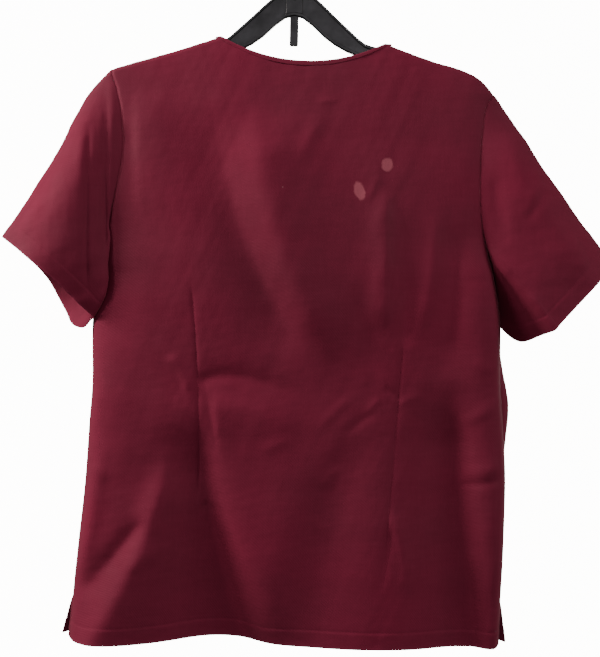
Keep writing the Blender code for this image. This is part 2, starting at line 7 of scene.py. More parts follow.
import bpy
import numpy as np
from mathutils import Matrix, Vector


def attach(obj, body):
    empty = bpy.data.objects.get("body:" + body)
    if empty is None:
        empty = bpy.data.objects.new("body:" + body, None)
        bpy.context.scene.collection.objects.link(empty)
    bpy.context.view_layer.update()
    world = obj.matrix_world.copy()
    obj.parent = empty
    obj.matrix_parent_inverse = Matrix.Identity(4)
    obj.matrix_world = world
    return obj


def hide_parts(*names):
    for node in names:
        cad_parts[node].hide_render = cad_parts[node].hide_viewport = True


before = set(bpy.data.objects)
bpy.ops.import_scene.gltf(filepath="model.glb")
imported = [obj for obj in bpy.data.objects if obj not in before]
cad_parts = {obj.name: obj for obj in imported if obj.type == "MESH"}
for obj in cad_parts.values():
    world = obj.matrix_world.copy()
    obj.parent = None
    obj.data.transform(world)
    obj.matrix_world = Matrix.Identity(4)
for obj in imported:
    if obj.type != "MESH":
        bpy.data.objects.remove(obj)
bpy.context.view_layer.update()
mm = 0.001

# Camera, backdrop and lights

view = {
    "place": (0.0122, -1.4, -0.4405),
    "lens": 69.7,
    "roll": -1.0,
}

backdrop = {
    "floorLevel": -1.25,
    "behind": 1.1,
    "wide": 7.0,
    "forward": 4.0,
    "tall": 4.5,
    "cove": 0.9,
    "coveSteps": 12,
    "slack": 0.01,
    "white": "f7f6f3",
    "glow": 14.0,
    "roomGlow": 0.18,
}

Lamp = namedtuple("Lamp", "name place aim wide tall watts colour")
lamps = (
    Lamp("windowLight", (-3.7, -2.1, 3.0), (-0.05, 0.0, -0.42), 1.6, 1.6, 164.0, "fff4f2"),
    Lamp("sleeveLight", (-1.4, -0.22, 0.35), (-0.29, 0.0, -0.26), 0.3, 0.3, 34.0, "fff2f0"),
    Lamp("doorLight", (4.3, -1.7, 1.6), (0.1, 0.0, -0.42), 2.0, 2.4, 124.0, "fff4f4"),
    Lamp("roomLight", (0.3, -3.2, 0.6), (0.02, 0.0, -0.45), 1.8, 1.8, 24.0, "fbf4fc"),
    Lamp("frontLight", (0.8, 2.6, 0.6), (0.0, 0.0, -0.45), 1.8, 1.8, 60.0, "fff6f2"),
)


def linearColour(hexValue, alpha=True):
    channels = [int(hexValue[i : i + 2], 16) / 255 for i in (0, 2, 4)]
    linear = [c / 12.92 if c <= 0.04045 else ((c + 0.055) / 1.055) ** 2.4 for c in channels]
    return (*linear, 1.0) if alpha else tuple(linear)


def addNode(tree, kind, settings=None, links=None):
    node = tree.nodes.new("ShaderNode" + kind)
    for name, value in (settings or {}).items():
        if isinstance(name, int) or name in node.inputs:
            node.inputs[name].default_value = value
        else:
            setattr(node, name, value)
    for name, socket in (links or {}).items():
        tree.links.new(socket, node.inputs[name])
    return node


def newMaterial(name):
    material = bpy.data.materials.new(name)
    material.use_nodes = True
    tree = material.node_tree
    tree.nodes.clear()
    return material, tree


def makeCamera():
    camera = bpy.data.objects.new("camera", bpy.data.cameras.new("camera"))
    camera.data.lens = view["lens"]
    camera.location = view["place"]
    camera.rotation_euler = (math.radians(90), math.radians(view["roll"]), 0)
    bpy.context.scene.collection.objects.link(camera)
    bpy.context.scene.camera = camera


def makeBackdrop():
    deep = backdrop["forward"] + backdrop["behind"]
    wallFrom = backdrop["behind"] - backdrop["slack"]
    floorTo = backdrop["floorLevel"] + backdrop["slack"]
    bpy.ops.object.select_all(action="DESELECT")
    bpy.ops.mesh.primitive_plane_add(
        size=1.0,
        location=(0, backdrop["behind"] - deep / 2, backdrop["floorLevel"]),
    )
    sheet = bpy.context.object
    sheet.name = "backdrop"
    sheet.scale = (backdrop["wide"], deep, 1)
    bpy.ops.object.transform_apply(location=True, rotation=True, scale=True)
    for edge in sheet.data.edges:
        ends = [sheet.data.vertices[i].co.y for i in edge.vertices]
        edge.select = min(ends) > wallFrom
    for point in sheet.data.vertices:
        point.select = point.co.y > wallFrom
    for polygon in sheet.data.polygons:
        polygon.select = False
    bpy.ops.object.mode_set(mode="EDIT")
    bpy.ops.mesh.select_mode(type="EDGE")
    bpy.ops.mesh.extrude_region_move(TRANSFORM_OT_translate={"value": (0, 0, backdrop["tall"])})
    bpy.ops.mesh.select_all(action="DESELECT")
    bpy.ops.object.mode_set(mode="OBJECT")
    for edge in sheet.data.edges:
        ends = [sheet.data.vertices[i].co for i in edge.vertices]
        edge.select = all(end.y > wallFrom and end.z < floorTo for end in ends)
    bpy.ops.object.mode_set(mode="EDIT")
    bpy.ops.mesh.bevel(offset=backdrop["cove"], segments=backdrop["coveSteps"])
    bpy.ops.object.mode_set(mode="OBJECT")
    bpy.ops.object.shade_smooth()
    # Matt white paper, bright enough to read as a clean studio white
    material, tree = newMaterial("matt white backdrop paper")
    shader = addNode(
        tree,
        "BsdfPrincipled",
        {
            "Base Color": linearColour(backdrop["white"]),
            "Roughness": 0.95,
            "Emission Color": linearColour(backdrop["white"]),
            "Emission Strength": backdrop["glow"],
        },
    )
    # From its back the paper is clear, so that the garment can be seen from the front too
    clear = addNode(tree, "BsdfTransparent")
    fromBack = addNode(tree, "NewGeometry").outputs["Backfacing"]
    oneSided = addNode(
        tree, "MixShader", links={0: fromBack, 1: shader.outputs[0], 2: clear.outputs[0]}
    )
    addNode(tree, "OutputMaterial", links={"Surface": oneSided.outputs[0]})
    sheet.data.materials.append(material)
    # The paper's glow is for the eye only: the lamps below light the cloth
    sheet.visible_diffuse = False
    sheet.visible_glossy = False
    sheet.visible_transmission = False
    sheet.visible_shadow = False


def makeLamps():
    for lamp in lamps:
        data = bpy.data.lights.new(lamp.name, "AREA")
        data.shape = "RECTANGLE"
        data.size = lamp.wide
        data.size_y = lamp.tall
        data.energy = lamp.watts
        data.color = linearColour(lamp.colour, alpha=False)
        light = bpy.data.objects.new(lamp.name, data)
        light.location = lamp.place
        aim = Vector(lamp.aim) - Vector(lamp.place)
        light.rotation_euler = aim.to_track_quat("-Z", "Y").to_euler()
        bpy.context.scene.collection.objects.link(light)
    world = bpy.data.worlds.new("room")
    world.use_nodes = True
    tree = world.node_tree
    tree.nodes.clear()
    # The eye sees the room as white as the paper, and the cloth gets only its faint light
    toEye = addNode(tree, "LightPath").outputs["Is Camera Ray"]
    strength = addNode(
        tree, "MapRange", {"To Min": backdrop["roomGlow"], "To Max": backdrop["glow"]}, {"Value": toEye}
    )
    sky = addNode(
        tree,
        "Background",
        {"Color": linearColour(backdrop["white"])},
        {"Strength": strength.outputs[0]},
    )
    addNode(tree, "OutputWorld", links={"Surface": sky.outputs[0]})
    bpy.context.scene.world = world


makeCamera()
makeBackdrop()
makeLamps()
print("camera, backdrop and lamps made")

# Form of the garment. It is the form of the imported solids, but for a few millimetres in some
# folds of the back and where the sleeves lie closer to the body

body = {
    "hemLevel": -781.0,
    "hemDipRight": 2.0,
    "hemLift": 6.0,
    "liftPlace": -0.33,
    "liftReach": 0.22,
    "ventTop": -740.0,
    "ventFlare": 9.0,
    "flarePower": 12,
    "ventSpread": 5.0,
    "spreadPower": 8,
    "tips": (-158.7, -180.0),
    "underarms": (-382.0, -386.0),
    "armholeDepth": 32.0,
    "armholeCurve": 5.0,
    "armFoldRadius": 6.5,
    "armFoldReach": 120.0,
    "fallLength": 110.0,
    "sectionPower": 4.0,
    "seamRounding": 0.5,
    "roundingChange": 70.0,
    "seamCalm": 0.05,
    "shoulderCalm": 45.0,
    "shoulderGuess": -140.0,
    "shoulderRounds": 12,
    "bulgeOut": 25.0,
    "bulgeHeight": -520.0,
    "bulgeReach": 75.0,
    "bulgeShare": 0.16,
}

neck = {
    "half": 91.3,
    "heights": (-121.4, -126.0),
    "backDrop": 24.6,
    "backPower": 2.1,
    "frontDrop": 150.0,
    "frontPower": 1.12,
    "vMargin": 1.9,
    "bandWidth": 5.5,
    "panelMargin": 4.2,
}

Edge = namedtuple("Edge", "height x")
leftEdge = (
    Edge(-783, -235),
    Edge(-740, -233),
    Edge(-680, -228),
    Edge(-610, -221.5),
    Edge(-545, -218),
    Edge(-500, -215.5),
    Edge(-446, -216.5),
    Edge(-382, -211),
    Edge(-334, -198.7),
    Edge(-292, -190.6),
    Edge(-247, -184),
    Edge(-214, -186),
    Edge(-182, -192.6),
    Edge(-158.7, -199.6),
    Edge(-110, -199.6),
)
rightEdge = (
    Edge(-783, 235),
    Edge(-740, 238),
    Edge(-680, 240.5),
    Edge(-610, 241.5),
    Edge(-545, 238),
    Edge(-490, 234),
    Edge(-438, 233.3),
    Edge(-386, 226.5),
    Edge(-356, 216.5),
    Edge(-329, 209),
    Edge(-296, 205.5),
    Edge(-252, 206.0),
    Edge(-208, 209.5),
    Edge(-191, 214),
    Edge(-180, 221),
    Edge(-110, 221),
)

Depth = namedtuple("Depth", "height back front")
depths = (
    Depth(-783, 46, 49),
    Depth(-700, 45, 49),
    Depth(-610, 41, 47),
    Depth(-545, 38, 46),
    Depth(-500, 37, 46),
    Depth(-440, 39, 49),
    Depth(-380, 41, 51),
    Depth(-300, 40, 46),
    Depth(-220, 37, 38),
    Depth(-110, 37, 37),
)

Shoulder = namedtuple("Shoulder", "x height")
shoulders = (
    Shoulder(-199.6, -158.7),
    Shoulder(-185.3, -154),
    Shoulder(-149.2, -143.5),
    Shoulder(-117.5, -133.6),
    Shoulder(-98, -126.8),
    Shoulder(-82.4, -121.4),
    Shoulder(-68, -119.5),
    Shoulder(8.9, -120.5),
    Shoulder(86, -123),
    Shoulder(100.2, -126),
    Shoulder(123.5, -134.3),
    Shoulder(163.3, -146.9),
    Shoulder(185.4, -153.1),
    Shoulder(205.4, -163.7),
    Shoulder(221, -180),
)

# A crease runs through three points. It has a width at each end, and lean spreads it to one
# side: towards +x on a crease drawn downwards, upwards on one drawn from left to right.
# It stands out (+) or sinks in (-) by the sizes given for its start and its end, is pointed
# at sharp 1 and round at sharp 2, and fades over these shares of its length.
Crease = namedtuple(
    "Crease", "x1 z1 x2 z2 x3 z3 width1 width2 lean out1 out2 sharp fade1 fade2"
)
backForm = (
    # the long drape from the left shoulder blade to the right of the waist
    Crease(-36, -195, -8, -345, 62, -488, 34, 25, 0.35, 12.0, 7.5, 2.0, 0.22, 0.25),
    Crease(-92, -195, -54, -345, 20, -482, 26, 20, -0.30, -7.0, -7.5, 2.0, 0.25, 0.25),
    # the left hollow of the skirt, with the crest that runs down to the vent
    Crease(-96, -525, -84, -640, -45, -790, 22, 60, -0.45, -11.0, -35.0, 2.0, 0.35, 0.0),
    Crease(-124, -560, -150, -672, -210, -790, 24, 36, 0.40, 9.0, 19.0, 1.7, 0.30, 0.0),
    Crease(-206, -430, -207, -600, -226, -790, 26, 30, 0.30, 9.0, 4.0, 2.0, 0.30, 0.0),
    # the middle of the skirt
    Crease(84, -545, 46, -640, 18, -790, 18, 40, 0.10, -3.0, -10.0, 2.0, 0.30, 0.0),
    # the right hollow, from under the arm to the hem
    Crease(174, -490, 188, -640, 204, -790, 26, 40, -0.40, -11.0, -26.0, 1.8, 0.25, 0.0),
    Crease(176, -320, 178, -400, 179, -500, 12, 18, -0.20, -3.0, -6.0, 1.8, 0.30, 0.25),
    Crease(222, -330, 228, -500, 236, -790, 34, 34, -0.25, 15.0, 19.0, 2.0, 0.25, 0.0),
)
frontForm = (
    Crease(-60, -290, -45, -370, -20, -450, 26, 22, 0.0, 5.0, 5.0, 2.0, 0.35, 0.35),
    Crease(90, -280, 78, -360, 60, -440, 24, 20, 0.0, 5.0, 5.0, 2.0, 0.35, 0.35),
    Crease(-130, -560, -133, -670, -140, -790, 26, 42, 0.2, -14.0, -22.0, 2.0, 0.35, 0.0),
    Crease(-52, -560, -42, -670, -30, -790, 24, 30, 0.0, 6.0, 9.0, 2.0, 0.30, 0.0),
    Crease(60, -570, 67, -670, 78, -790, 22, 34, -0.2, -12.0, -18.0, 2.0, 0.35, 0.0),
    Crease(150, -540, 154, -670, 160, -790, 22, 28, 0.0, 6.0, 9.0, 2.0, 0.30, 0.0),
)


def smoothStep(value):
    value = np.clip(value, 0.0, 1.0)
    return value * value * (3.0 - 2.0 * value)


def easedRun(t, span, first, last, firstSlope, lastSlope):
    # from first to last over a span, as t goes from 0 to 1, with the slopes asked for
    start = first * (1 + 2 * t) * (1 - t) ** 2 + firstSlope * span * t * (1 - t) ** 2
    end = last * t * t * (3 - 2 * t) + lastSlope * span * t * t * (t - 1)
    return start + end


def readTable(table, key, column, at):
    # a smooth reading between the rows of a table, with no overshoot
    places = np.array([getattr(row, key) for row in table], float)
    values = np.array([getattr(row, column) for row in table], float)
    steps = np.diff(values) / np.diff(places)
    before, after = steps[:-1], steps[1:]
    sameWay = before * after > 0
    total = np.where(sameWay, before + after, 1.0)
    inner = np.where(sameWay, 2 * before * after / total, 0.0)
    slopes = np.concatenate([steps[:1], inner, steps[-1:]])
    at = np.clip(np.asarray(at, float), places[0], places[-1])
    k = np.clip(np.searchsorted(places, at, side="right") - 1, 0, len(places) - 2)
    span = places[k + 1] - places[k]
    t = (at - places[k]) / span
    return easedRun(t, span, values[k], values[k + 1], slopes[k], slopes[k + 1])


def between(left, right, f):
    return left + (right - left) * (np.asarray(f, float) + 1.0) / 2.0


def creaseHeight(creases, x, z, steps=14):
    total = np.zeros(x.shape)
    for c in creases:
        t = np.linspace(0, 1, steps + 1)
        first, middle, last = (1 - t) * (1 - 2 * t), 4 * t * (1 - t), t * (2 * t - 1)
        px = c.x1 * first + c.x2 * middle + c.x3 * last
        pz = c.z1 * first + c.z2 * middle + c.z3 * last
        nearest = np.full(x.shape, np.inf)
        across = np.zeros(x.shape)
        along = np.zeros(x.shape)
        for i in range(steps):
            dx, dz = px[i + 1] - px[i], pz[i + 1] - pz[i]
            length = math.hypot(dx, dz)
            share = np.clip(((x - px[i]) * dx + (z - pz[i]) * dz) / length**2, 0, 1)
            ox, oz = x - px[i] - share * dx, z - pz[i] - share * dz
            distance = np.hypot(ox, oz)
            closer = distance < nearest
            nearest = np.where(closer, distance, nearest)
            across = np.where(closer, np.copysign(distance, dx * oz - dz * ox), across)
            along = np.where(closer, (i + share) / steps, along)
        width = c.width1 + (c.width2 - c.width1) * along
        width = width * (1 + c.lean * np.sign(across))
        height = c.out1 + (c.out2 - c.out1) * along
        if c.fade1:
            height = height * smoothStep(along / c.fade1)
        if c.fade2:
            height = height * smoothStep((1 - along) / c.fade2)
        total = total + height * np.exp(-(np.abs(across / width) ** c.sharp))
    return total


def bodyX(f, z):
    return between(readTable(leftEdge, "height", "x", z), readTable(rightEdge, "height", "x", z), f)


def shoulderHeight(f):
    # the seam's height at a cross fraction, closed in on from a guess
    height = np.full(np.shape(f), body["shoulderGuess"])
    for _ in range(body["shoulderRounds"]):
        height = readTable(shoulders, "x", "height", bodyX(f, height))
    return height


def bodyPoint(face, f, z, creases):
    # places on the back (face -1) or the front (face 1), at cross fraction f from -1 to 1
    f, z = np.broadcast_arrays(np.asarray(f, float), np.asarray(z, float))
    tip = between(*body["tips"], f)
    under = between(*body["underarms"], f)
    share = np.clip((tip - z) / (tip - under), 0, 1)
    edge = body["armholeDepth"] * (1 - share ** body["armholeCurve"])
    deep = readTable(depths, "height", "back" if face < 0 else "front", z)
    opening = smoothStep((z - under) / body["roundingChange"])
    rounding = body["seamRounding"] + (1 - body["seamRounding"]) * opening
    section = (1 - np.minimum(np.abs(f), 1) ** body["sectionPower"]) ** rounding
    below = np.maximum(shoulderHeight(f) - z, 0)
    bend = np.sqrt(1 - (1 - np.clip(below / body["armFoldRadius"], 0, 1)) ** 2)
    bend = bend * np.clip(1 - below / body["armFoldReach"], 0, 1) ** 2
    out = (edge + (deep - edge) * section) * (1 - np.exp(-below / body["fallLength"]))
    out = out + body["armFoldRadius"] * bend
    x = bodyX(f, z)
    calm = smoothStep((1 - np.abs(f)) / body["seamCalm"])
    calm = calm * smoothStep(below / body["shoulderCalm"])
    out = out + creaseHeight(creases, x, z) * calm
    vent = np.clip((body["ventTop"] - z) / (body["ventTop"] - body["hemLevel"]), 0, 1)
    out = out + body["ventSpread"] * vent * np.abs(f) ** body["spreadPower"]
    if face > 0:
        x = x + body["ventFlare"] * vent * np.sign(f) * np.abs(f) ** body["flarePower"]
        aside = np.sin(math.pi * np.clip((1 - f) / body["bulgeShare"], 0, 1))
        bulge = np.exp(-(((z - body["bulgeHeight"]) / body["bulgeReach"]) ** 2))
        x = x + body["bulgeOut"] * aside * bulge
    return np.stack([x, face * out, z], axis=-1)


def neckFraction(margin):
    half = (rightEdge[-1].x - leftEdge[-1].x) / 2
    return (neck["half"] + margin) / half


def neckHeight(face, f, margin):
    share = np.clip(np.abs(f) / neckFraction(margin), 0, 1)
    line = between(*neck["heights"], f / neckFraction(0))
    drop = neck["backDrop"] if face < 0 else neck["frontDrop"]
    power = neck["backPower"] if face < 0 else neck["frontPower"]
    deeper = margin if face < 0 else margin * neck["vMargin"]
    return line - (drop + deeper) * (1 - share**power)


def topHeight(face, f, margin):
    inside = np.abs(f) < neckFraction(margin) - 1e-9
    return np.where(inside, neckHeight(face, f, margin), shoulderHeight(f))


# How the cloth is laid on that form

Ripple = namedtuple("Ripple", "size longest shortest")
cloth = {
    "columns": 168,
    "skirtRows": 138,
    "chestRows": 84,
    "chestSpacing": 1.45,
    "fineSteps": 3001,
    "dartPlaces": (-0.52, -0.455, 0.43, 0.515),
    "dartCloseness": 2.2,
    "dartReach": 0.035,
    "hemPlaces": (0.0, 0.045),
    "hemCloseness": 2.0,
    "hemReach": 0.02,
    "thickness": 0.7,
    "hemWidth": 18.0,
    "hemRise": 0.35,
    "hemBlend": 3.0,
    "ventHemWidth": 8.0,
    "ventBlend": 6.0,
    "stitchDeep": 0.32,
    "stitchWide": 1.3,
    "seamDeep": 0.7,
    "seamWide": 1.6,
    "broadRipple": Ripple(0.55, 90, 26),
    "broadCalm": 30,
    "fineRipple": Ripple(0.16, 24, 9),
    "fineCalm": 12,
}

waves = {
    "count": 9,
    "sway": 0.5,
    "uprightShare": 0.6,
    "bend": 0.35,
    "bendLength": 1.7,
}


def closerNear(count, low, high, places, closeness, reach):
    # even steps from low to high, drawn together near the given places
    fine = np.linspace(low, high, cloth["fineSteps"])
    crowd = np.ones(fine.shape)
    for place in places:
        crowd = crowd + closeness * np.exp(-(((fine - place) / (reach * (high - low))) ** 2))
    share = np.cumsum(crowd) - crowd[0]
    return np.interp(np.linspace(0, 1, count + 1), share / share[-1], fine)


def gridNormals(points, closed):
    down = np.gradient(points, axis=0)
    if closed:
        across = (np.roll(points, -1, axis=1) - np.roll(points, 1, axis=1)) / 2
    else:
        across = np.gradient(points, axis=1)
    normals = np.cross(across, down)
    return normals / np.maximum(np.linalg.norm(normals, axis=2, keepdims=True), 1e-9)


def distanceAlong(points, axis, fromEnd=False):
    # length of cloth from the first or last line of the grid
    step = np.linalg.norm(np.diff(points, axis=axis), axis=2)
    if fromEnd:
        step = np.flip(step, axis)
    run = np.cumsum(step, axis=axis)
    run = np.concatenate([np.zeros_like(np.take(run, [0], axis=axis)), run], axis=axis)
    return np.flip(run, axis) if fromEnd else run


def turnedEdge(distance, width):
    # a hem folded to the inside: a little thicker, dented along its row of stitches
    blend = cloth["hemBlend"]
    rise = cloth["hemRise"] * smoothStep((width + blend / 2 - distance) / blend)
    dent = cloth["stitchDeep"] * np.exp(-(((distance - width) / cloth["stitchWide"]) ** 2))
    return rise - dent


def seamDent(distance):
    return -cloth["seamDeep"] * np.exp(-np.abs(distance / cloth["seamWide"]))


def ripples(x, z, seed, ripple):
    # low uneven waves of cloth that has been washed and worn
    chance = np.random.default_rng(seed)
    total = np.zeros(x.shape)
    for _ in range(waves["count"]):
        spread = ripple.longest - ripple.shortest
        length = ripple.shortest + spread * chance.random() ** 2
        angle = chance.uniform(-waves["sway"], waves["sway"])
        angle = angle + (0 if chance.random() < waves["uprightShare"] else math.pi / 2)
        start = chance.uniform(0, 2 * math.pi)
        along = x * math.sin(angle) + z * math.cos(angle)
        bend = waves["bend"] * np.sin(along / (waves["bendLength"] * length) + start)
        phase = 2 * math.pi * (x * math.cos(angle) - z * math.sin(angle)) / length
        total = total + np.sin(phase + start + 2 * bend) * length / ripple.longest
    return ripple.size * total / math.sqrt(waves["count"])


def makeSheet(name, points, closed, material, values, thickness=None):
    rows, cols = points.shape[:2]
    index = np.arange(rows * cols).reshape(rows, cols)
    right = np.roll(index, -1, axis=1) if closed else index[:, 1:]
    left = index if closed else index[:, :-1]
    quads = np.stack([left[:-1], right[:-1], right[1:], left[1:]], axis=-1).reshape(-1, 4)
    mesh = bpy.data.meshes.new(name)
    mesh.from_pydata((points.reshape(-1, 3) * mm).tolist(), [], quads.tolist())
    for key, value in values.items():
        layer = mesh.attributes.new(key, "FLOAT", "POINT")
        layer.data.foreach_set("value", np.ascontiguousarray(value, np.float32).reshape(-1))
    mesh.shade_smooth()
    mesh.materials.append(material)
    piece = bpy.data.objects.new(name, mesh)
    bpy.context.scene.collection.objects.link(piece)
    wall = piece.modifiers.new("thickness", "SOLIDIFY")
    wall.thickness = (thickness or cloth["thickness"]) * mm
    wall.offset = 0.0
    return piece


# Cloth materials

twill = {
    "wine": "6a152e",
    "wineDeep": "591026",
    "winePale": "7a263e",
    "bloom": "d88a92",
    "lint": "c58f92",
    "bleached": "8c4450",
    "mottleSize": 0.16,
    "slubLength": 0.030,
    "slubWidth": 0.0026,
    "ribSpacing": 0.0016,
    "bandRepeat": 0.314,
}

Spot = namedtuple("Spot", "x z halfWide halfTall turn")
bleachedSpots = (
    Spot(73.7, -291.3, 5.4, 9.8, -18.0),
    Spot(103.2, -262.0, 6.0, 7.2, 12.0),
)


def makeTwill(name, spots=()):
    # Polyester and viscose twill, piece-dyed wine and washed soft: matt, with a faint bloom
    # where the fibres stand up, and paler at hems and folds, partly wear and partly painted highlight
    material, tree = newMaterial(name)
    place = addNode(tree, "TexCoord").outputs["Object"]
    mottle = addNode(
        tree,
        "TexNoise",
        {"Scale": 1 / twill["mottleSize"], "Detail": 4.0, "Roughness": 0.55},
        {"Vector": place},
    )
    mottleShare = addNode(
        tree,
        "MapRange",
        {"From Min": 0.3, "From Max": 0.7, "To Min": 0.15, "To Max": 0.85},
        {"Value": mottle.outputs["Fac"]},
    )
    ground = addNode(
        tree,
        "Mix",
        {
            "data_type": "RGBA",
            6: linearColour(twill["wineDeep"]),
            7: linearColour(twill["wine"]),
        },
        {0: mottleShare.outputs[0]},
    )
    # Slubs: the real yarn is 0.3 mm thick, drawn at 2.6 mm because it is too fine to show
    stretched = addNode(
        tree,
        "Mapping",
        {"Scale": (1 / twill["slubWidth"], 1 / twill["slubWidth"], 1 / twill["slubLength"])},
        {"Vector": place},
    )
    slub = addNode(
        tree, "TexNoise", {"Scale": 1.0, "Detail": 2.0}, {"Vector": stretched.outputs[0]}
    )
    crossways = addNode(
        tree,
        "Mapping",
        {"Scale": (1 / twill["slubLength"], 1 / twill["slubLength"], 1 / twill["slubWidth"])},
        {"Vector": place},
    )
    weft = addNode(
        tree, "TexNoise", {"Scale": 1.0, "Detail": 2.0}, {"Vector": crossways.outputs[0]}
    )
    threads = addNode(
        tree, "Math", {"operation": "ADD"}, {0: slub.outputs["Fac"], 1: weft.outputs["Fac"]}
    )
    threadShare = addNode(
        tree,
        "MapRange",
        {"From Min": 0.75, "From Max": 1.3, "To Min": 0.0, "To Max": 0.10},
        {"Value": threads.outputs[0]},
    )
    yarn = addNode(
        tree,
        "Mix",
        {"data_type": "RGBA", 7: linearColour(twill["winePale"])},
        {0: threadShare.outputs[0], 6: ground.outputs[2]},
    )
    colour = yarn.outputs[2]
    # Hems, cuffs and the binding's fold pale over their last 3 millimetres: partly wear, partly a
    # painted highlight on the rounded folded edge
    fromEdge = addNode(tree, "Attribute", {"attribute_name": "fromEdge"})
    wearAndHighlightShare = addNode(
        tree,
        "MapRange",
        {"From Min": 0.0, "From Max": 3.0, "To Min": 0.55, "To Max": 0.0},
        {"Value": fromEdge.outputs["Fac"]},
    )
    wearAndHighlightMix = addNode(
        tree,
        "Mix",
        {"data_type": "RGBA", 7: linearColour(twill["winePale"])},
        {0: wearAndHighlightShare.outputs[0], 6: colour},
    )
    colour = wearAndHighlightMix.outputs[2]
    for spot in spots:
        colour = addBleachedSpot(tree, place, colour, spot)
    colour = addLint(tree, place, colour)
    # Twill ribs: 0.5 mm apart on the cloth, drawn at 1.6 mm so that they show. At scale 1 a
    # band pattern repeats every 0.314 m
    ribs = addNode(
        tree,
        "TexWave",
        {
            "wave_type": "BANDS",
            "bands_direction": "DIAGONAL",
            "Scale": twill["bandRepeat"] / twill["ribSpacing"],
            "Distortion": 1.2,
            "Detail": 2.0,
        },
        {"Vector": place},
    )
    crumple = addNode(
        tree, "TexNoise", {"Scale": 95.0, "Detail": 5.0, "Roughness": 0.6}, {"Vector": place}
    )
    ribBump = addNode(
        tree, "Bump", {"Strength": 0.16, "Distance": 0.0003}, {"Height": ribs.outputs["Fac"]}
    )
    bump = addNode(
        tree,
        "Bump",
        {"Strength": 0.35, "Distance": 0.0009},
        {"Height": crumple.outputs["Fac"], "Normal": ribBump.outputs[0]},
    )
    roughness = addNode(
        tree,
        "MapRange",
        {"From Min": 0.3, "From Max": 0.7, "To Min": 0.72, "To Max": 0.9},
        {"Value": mottle.outputs["Fac"]},
    )
    shader = addNode(
        tree,
        "BsdfPrincipled",
        {
            "IOR": 1.46,
            "Specular IOR Level": 0.2,
            "Sheen Weight": 0.12,
            "Sheen Roughness": 0.45,
            "Sheen Tint": linearColour(twill["bloom"]),
        },
        {
            "Base Color": colour,
            "Roughness": roughness.outputs[0],
            "Normal": bump.outputs[0],
        },
    )
    addNode(tree, "OutputMaterial", links={"Surface": shader.outputs[0]})
    return material


def addBleachedSpot(tree, place, colour, spot):
    # a splash of bleach, pale rose with a ragged rim
    centred = addNode(
        tree,
        "Mapping",
        {
            "vector_type": "TEXTURE",
            "Location": (spot.x * mm, 0, spot.z * mm),
            "Rotation": (0, math.radians(spot.turn), 0),
            "Scale": (spot.halfWide * mm, 10.0, spot.halfTall * mm),
        },
        {"Vector": place},
    )
    distance = addNode(
        tree, "VectorMath", {"operation": "LENGTH"}, {0: centred.outputs[0]}
    )
    ragged = addNode(tree, "TexNoise", {"Scale": 260.0, "Detail": 3.0}, {"Vector": place})
    rim = addNode(
        tree,
        "Math",
        {"operation": "MULTIPLY_ADD", 1: 0.5},
        {0: ragged.outputs["Fac"], 2: distance.outputs["Value"]},
    )
    share = addNode(
        tree,
        "MapRange",
        {"From Min": 1.12, "From Max": 1.42, "To Min": 0.92, "To Max": 0.0},
        {"Value": rim.outputs[0]},
    )
    mixed = addNode(
        tree,
        "Mix",
        {"data_type": "RGBA", 7: linearColour(twill["bleached"])},
        {0: share.outputs[0], 6: colour},
    )
    return mixed.outputs[2]


def addLint(tree, place, colour):
    # a few specks of pale lint
    cells = addNode(tree, "TexVoronoi", {"Scale": 14.0}, {"Vector": place})
    speck = addNode(
        tree,
        "MapRange",
        {"From Min": 0.010, "From Max": 0.016, "To Min": 0.7, "To Max": 0.0},
        {"Value": cells.outputs["Distance"]},
    )
    mixed = addNode(
        tree,
        "Mix",
        {"data_type": "RGBA", 7: linearColour(twill["lint"])},
        {0: speck.outputs[0], 6: colour},
    )
    return mixed.outputs[2]


backTwill = makeTwill("wine twill, back with bleach spots", bleachedSpots)
plainTwill = makeTwill("wine twill, piece dyed")
print("cloth materials made")

# Back and front panels

darts = {
    "left": Crease(-106, -394, -97, -500, -94.5, -628, 2.2, 2.2, 0.0, -1.6, -1.6, 1.0, 0.10, 0.10),
    "right": Crease(122.8, -455, 117, -545, 106, -706, 2.2, 2.2, 0.0, -1.6, -1.6, 1.0, 0.10, 0.10),
}

